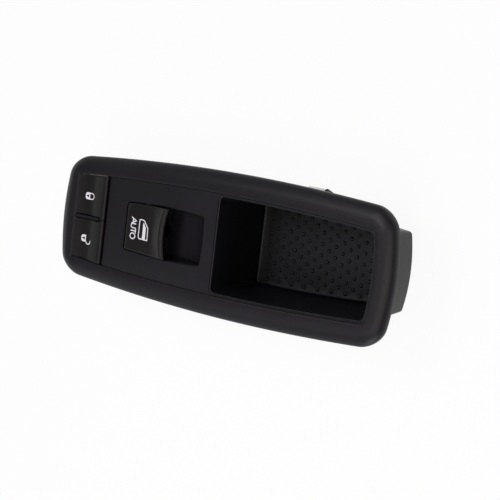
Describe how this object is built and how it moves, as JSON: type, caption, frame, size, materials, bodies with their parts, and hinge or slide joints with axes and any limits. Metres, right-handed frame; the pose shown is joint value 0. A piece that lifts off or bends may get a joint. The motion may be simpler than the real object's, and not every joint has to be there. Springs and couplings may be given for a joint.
{
  "type": "power window switch",
  "caption": "Door panel power window switch: bezel with lock and unlock keys, a pull-up rocker over a finger scoop, and a storage tray with a studded mat.",
  "frame": {"origin": "under the middle of the bezel, in the plane of the tray's underside and the connector's mouth", "axes": "+X along the panel from the lock keys to the tray, +Y across it towards the lock key, +Z out of the panel's face"},
  "size_m": [0.189, 0.0674, 0.0402],
  "materials": {
    "bezel_plastic": "fine-grained charcoal moulding",
    "panel_plastic": "fine-grained charcoal moulding",
    "mat_rubber": "matte black rubber",
    "knob_plastic": "satin charcoal with a slightly warm tone",
    "case_plastic": "plain black moulding",
    "cover_plastic": "plain dark grey moulding",
    "board": "green solder mask",
    "header_plastic": "natural off-white nylon",
    "tinned_brass": "dull tin plating",
    "spring_steel": "bright zinc-plated",
    "silicone": "milky silicone",
    "led": "clear moulded lens"
  },
  "bodies": {
    "panel": {"bezel_frame": "bezel_plastic", "centre_panel": "panel_plastic", "tray_mat": "mat_rubber", "switch_housing": "case_plastic", "housing_cover": "cover_plastic", "circuit_board": "board", "connector_header": "header_plastic", "terminal_pin_1": "tinned_brass", "terminal_pin_2": "tinned_brass", "terminal_pin_3": "tinned_brass", "terminal_pin_4": "tinned_brass", "terminal_pin_5": "tinned_brass", "terminal_pin_6": "tinned_brass", "terminal_pin_7": "tinned_brass", "terminal_pin_8": "tinned_brass", "rocker_pivot_pin": "spring_steel", "key_hinge_pin": "spring_steel", "window_up_dome": "silicone", "window_down_dome": "silicone", "lock_dome": "silicone", "unlock_dome": "silicone", "lock_led": "led", "unlock_led": "led", "window_led": "led", "housing_screw_1": "spring_steel", "housing_screw_2": "spring_steel", "housing_screw_3": "spring_steel", "housing_screw_4": "spring_steel", "spring_clip_upper": "spring_steel", "spring_clip_lower": "spring_steel"},
    "window_rocker": {"window_rocker": "knob_plastic"},
    "lock_button": {"lock_button": "knob_plastic"},
    "unlock_button": {"unlock_button": "knob_plastic"}
  },
  "joints": [
    {"name": "window_rocker_hinge", "type": "hinge", "parent": "panel", "child": "window_rocker", "pos_m": [-0.0441, 0, 0.0328], "axis": [0, -1, 0], "range_deg": [-6, 6], "stiffness_Nm_per_rad": 0.5, "deforming": ["window_up_dome", "window_down_dome"]},
    {"name": "lock_button_hinge", "type": "hinge", "parent": "panel", "child": "lock_button", "pos_m": [-0.0866, 0, 0.0321], "axis": [0, 1, 0], "range_deg": [0, 4], "stiffness_Nm_per_rad": 0.3, "springref_deg": -2.86, "deforming": ["lock_dome"]},
    {"name": "unlock_button_hinge", "type": "hinge", "parent": "panel", "child": "unlock_button", "pos_m": [-0.0866, 0, 0.0321], "axis": [0, 1, 0], "range_deg": [0, 4], "stiffness_Nm_per_rad": 0.3, "springref_deg": -2.86, "deforming": ["unlock_dome"]}
  ]
}
